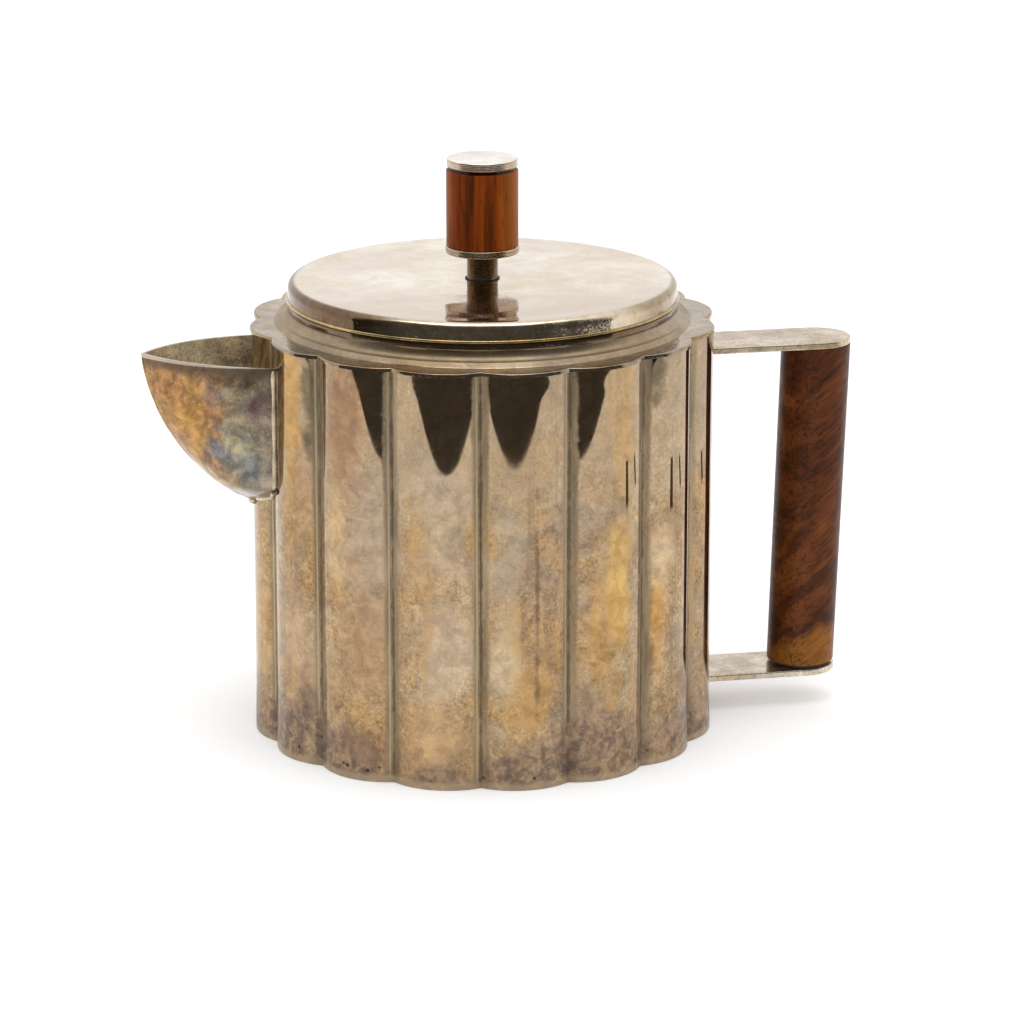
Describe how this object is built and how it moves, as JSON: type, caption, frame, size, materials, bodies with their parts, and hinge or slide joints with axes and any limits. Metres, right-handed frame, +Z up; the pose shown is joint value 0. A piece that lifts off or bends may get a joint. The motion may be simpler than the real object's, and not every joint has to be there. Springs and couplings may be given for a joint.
{
  "type": "teapot",
  "caption": "Fluted silver-plated teapot with lift-off lid, open beak spout, wooden barrel knob and C-shaped handle with a round wooden grip.",
  "frame": {"origin": "centre of the flat base plate's underside, on which the pot stands", "axes": "+Z up through the lid and knob, -X towards the spout, +X towards the handle"},
  "size_m": [0.1793, 0.116, 0.1443],
  "materials": {
    "wall_silver": "tarnished silver plate, warm grey-brown with darker flutes",
    "base_silver": "dull tarnished silver plate",
    "shoulder_silver": "satin silver plate, lightly tarnished, edges worn bright",
    "spout_silver": "tarnished silver plate with amber and blue heat bloom",
    "strap_silver": "satin silver plate",
    "lid_silver": "polished silver plate with fine wiping marks and light tarnish",
    "rim_brass": "half-round wire, plate worn through to brass",
    "knob_silver": "turned and polished silver plate",
    "stem_brass": "darkened threaded brass",
    "rod_steel": "plain steel",
    "shim_dark": "thin black fibre shim",
    "washer_dark": "dark fibre washer",
    "grip_wood": "polished rosewood with dark streaks, paler sapwood at the foot",
    "barrel_wood": "polished reddish-brown wood, upright grain"
  },
  "bodies": {
    "pot": {"body_wall": "wall_silver", "base_plate": "base_silver", "shoulder_plate": "shoulder_silver", "neck_ring": "shoulder_silver", "spout_panel_left": "spout_silver", "spout_panel_right": "spout_silver", "handle_strap_top": "strap_silver", "handle_strap_bottom": "strap_silver", "handle_grip": "grip_wood", "handle_rod": "rod_steel", "grip_washer": "washer_dark", "handle_nut": "rod_steel"},
    "lid_guide": {"lid_flange": "lid_silver"},
    "lid": {"lid_pan": "lid_silver", "lid_rim_band": "rim_brass", "knob_stem": "stem_brass", "stem_shim": "shim_dark", "knob_disc": "knob_silver", "knob_cap": "knob_silver", "lid_nut_washer": "stem_brass", "lid_nut": "stem_brass"},
    "barrel": {"knob_barrel": "barrel_wood"}
  },
  "joints": [
    {"name": "lid_lift", "type": "slide", "parent": "pot", "child": "lid_guide", "axis": [0, 0, 1], "range_m": [0, 0.045]},
    {"name": "lid_turn", "type": "hinge", "parent": "lid_guide", "child": "lid", "pos_m": [0, 0, 0.109], "axis": [0, 0, 1], "continuous": true},
    {"name": "barrel_turn", "type": "hinge", "parent": "lid", "child": "barrel", "pos_m": [0, 0, 0.132], "axis": [0, 0, 1], "continuous": true}
  ]
}
